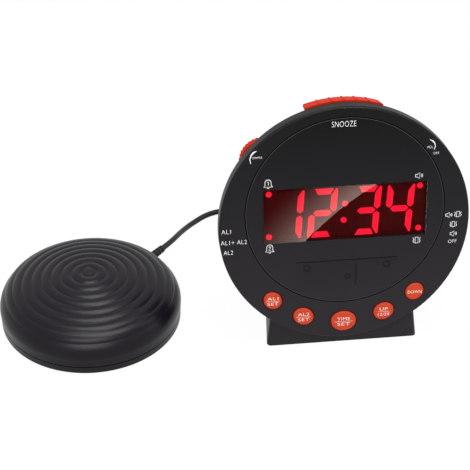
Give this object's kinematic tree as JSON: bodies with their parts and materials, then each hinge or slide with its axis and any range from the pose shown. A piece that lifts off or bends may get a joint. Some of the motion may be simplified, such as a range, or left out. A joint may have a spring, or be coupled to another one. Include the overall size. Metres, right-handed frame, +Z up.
{
  "type": "bed shaker alarm clock",
  "caption": "Round tilted desk alarm clock with a large red digit display, a top snooze bar and oval buttons, joined by a lead to a round vibrating bed pad.",
  "frame": {"origin": "middle of the underside of the clock's foot, on the table", "axes": "+Z up, +X to the right of someone reading the display, +Y backwards, so the face looks along -Y"},
  "size_m": [0.2762, 0.1579, 0.1481],
  "materials": {
    "casing": "fine satin texture",
    "window": "smoked, polished",
    "display_black": "matt",
    "display_body": "dark red, satin",
    "segment_lit": "lit red",
    "segment_dark": "unlit red",
    "orange": "satin gloss",
    "circuit_board": "solder mask",
    "component": "moulded",
    "light_package": "clear cast",
    "steel": "bright",
    "speaker_paper": "pressed paper",
    "magnet": "ground",
    "battery_case": "printed metal",
    "rubber": "soft matt",
    "cable": "smooth satin",
    "switch_body": "moulded"
  },
  "bodies": {
    "clock": {"front_bezel": "casing", "rear_casing": "casing", "face_lens": "window", "display_mask": "display_black", "display_module": "display_body", "display_segments_lit": "segment_lit", "display_segments_unlit": "segment_dark", "alert_light_board": "circuit_board", "alert_leds": "light_package", "alert_screws": "steel", "button_board": "circuit_board", "button_switches": "switch_body", "snooze_board": "circuit_board", "snooze_switch": "switch_body", "dimmer_potentiometer": "switch_body", "volume_potentiometer": "switch_body", "alarm_select_switch": "switch_body", "mode_select_switch": "switch_body", "main_board": "circuit_board", "board_screws": "steel", "casing_screws": "steel", "speaker_frame": "steel", "speaker_magnet": "magnet", "speaker_cone": "speaker_paper", "power_jack": "switch_body", "shaker_jack": "switch_body", "base_plate": "casing", "rubber_pads": "rubber", "plate_screws": "steel", "backup_battery": "battery_case", "battery_contacts": "steel", "shaker_top_shell": "casing", "shaker_bottom_shell": "casing", "shaker_screws": "steel", "shaker_motor": "steel", "motor_cradle": "component", "motor_strap": "steel", "shaker_boot": "rubber", "shaker_lead_front": "cable", "shaker_lead_coil": "cable", "shaker_lead_rear": "cable", "shaker_plug": "rubber"},
    "snooze_bar_body": {"snooze_bar": "orange"},
    "button_alarm_1_body": {"button_alarm_1": "orange"},
    "button_alarm_2_body": {"button_alarm_2": "orange"},
    "button_time_body": {"button_time": "orange"},
    "button_up_body": {"button_up": "orange"},
    "button_down_body": {"button_down": "orange"},
    "dimmer_wheel_body": {"dimmer_wheel": "orange"},
    "volume_wheel_body": {"volume_wheel": "orange"},
    "alarm_select_slider_body": {"alarm_select_slider": "orange"},
    "mode_select_slider_body": {"mode_select_slider": "orange"},
    "battery_door_body": {"battery_door": "casing"},
    "eccentric_weight_body": {"eccentric_weight": "steel"}
  },
  "joints": [
    {"name": "snooze_press", "type": "slide", "parent": "clock", "child": "snooze_bar_body", "axis": [0, -0.1857, -0.9826], "range_m": [0, 0.0015], "stiffness_N_per_m": 400, "springref_m": -0.002},
    {"name": "alarm_1_press", "type": "slide", "parent": "clock", "child": "button_alarm_1_body", "axis": [0, 0.9826, -0.1857], "range_m": [0, 0.0007], "stiffness_N_per_m": 800, "springref_m": -0.001},
    {"name": "alarm_2_press", "type": "slide", "parent": "clock", "child": "button_alarm_2_body", "axis": [0, 0.9826, -0.1857], "range_m": [0, 0.0007], "stiffness_N_per_m": 800, "springref_m": -0.001},
    {"name": "time_press", "type": "slide", "parent": "clock", "child": "button_time_body", "axis": [0, 0.9826, -0.1857], "range_m": [0, 0.0007], "stiffness_N_per_m": 800, "springref_m": -0.001},
    {"name": "up_press", "type": "slide", "parent": "clock", "child": "button_up_body", "axis": [0, 0.9826, -0.1857], "range_m": [0, 0.0007], "stiffness_N_per_m": 800, "springref_m": -0.001},
    {"name": "down_press", "type": "slide", "parent": "clock", "child": "button_down_body", "axis": [0, 0.9826, -0.1857], "range_m": [0, 0.0007], "stiffness_N_per_m": 800, "springref_m": -0.001},
    {"name": "dimmer_turn", "type": "hinge", "parent": "clock", "child": "dimmer_wheel_body", "pos_m": [-0.04535, 0.00012, 0.11163], "axis": [0, -0.9826, 0.1857], "range_deg": [-135, 135]},
    {"name": "volume_turn", "type": "hinge", "parent": "clock", "child": "volume_wheel_body", "pos_m": [0.04451, -0.00001, 0.11094], "axis": [0, -0.9826, 0.1857], "range_deg": [-135, 135]},
    {"name": "alarm_select_slide", "type": "slide", "parent": "clock", "child": "alarm_select_slider_body", "axis": [0, 0.1857, 0.9826], "range_m": [-0.004, 0.004]},
    {"name": "mode_select_slide", "type": "slide", "parent": "clock", "child": "mode_select_slider_body", "axis": [0, 0.1857, 0.9826], "range_m": [-0.006, 0.006]},
    {"name": "battery_door_slide", "type": "slide", "parent": "clock", "child": "battery_door_body", "axis": [0, 1, 0], "range_m": [0, 0.02]},
    {"name": "weight_spin", "type": "hinge", "parent": "clock", "child": "eccentric_weight_body", "pos_m": [-0.1335, 0.0096, 0.016], "axis": [1, 0, 0], "continuous": true}
  ]
}
